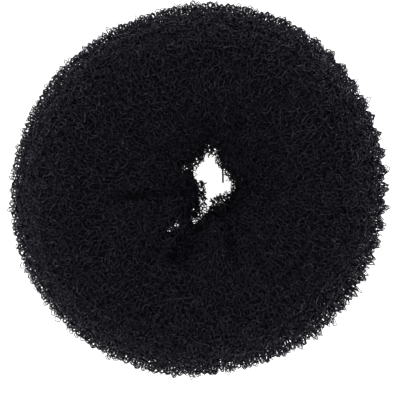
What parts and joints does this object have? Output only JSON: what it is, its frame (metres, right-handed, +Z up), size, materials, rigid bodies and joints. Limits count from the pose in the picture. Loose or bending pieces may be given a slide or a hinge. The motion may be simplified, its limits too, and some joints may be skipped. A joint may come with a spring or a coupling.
{
  "type": "hair donut bun maker",
  "caption": "Soft black hair donut: a knitted nylon mesh tube rolled up into a thick ring, with a small pinched hole that a ponytail is drawn through to form a bun.",
  "frame": {"origin": "middle of the ring's width and depth, on the surface that it lies on", "axes": "+Z up through the hole, +X to the right and +Y away from the viewer as the picture shows the ring from above"},
  "size_m": [0.1, 0.099, 0.042],
  "materials": {
    "nylon_mesh": "satin black nylon filament, knitted open and rolled"
  },
  "bodies": {
    "root": {"rolled_mesh": "nylon_mesh"}
  },
  "joints": []
}
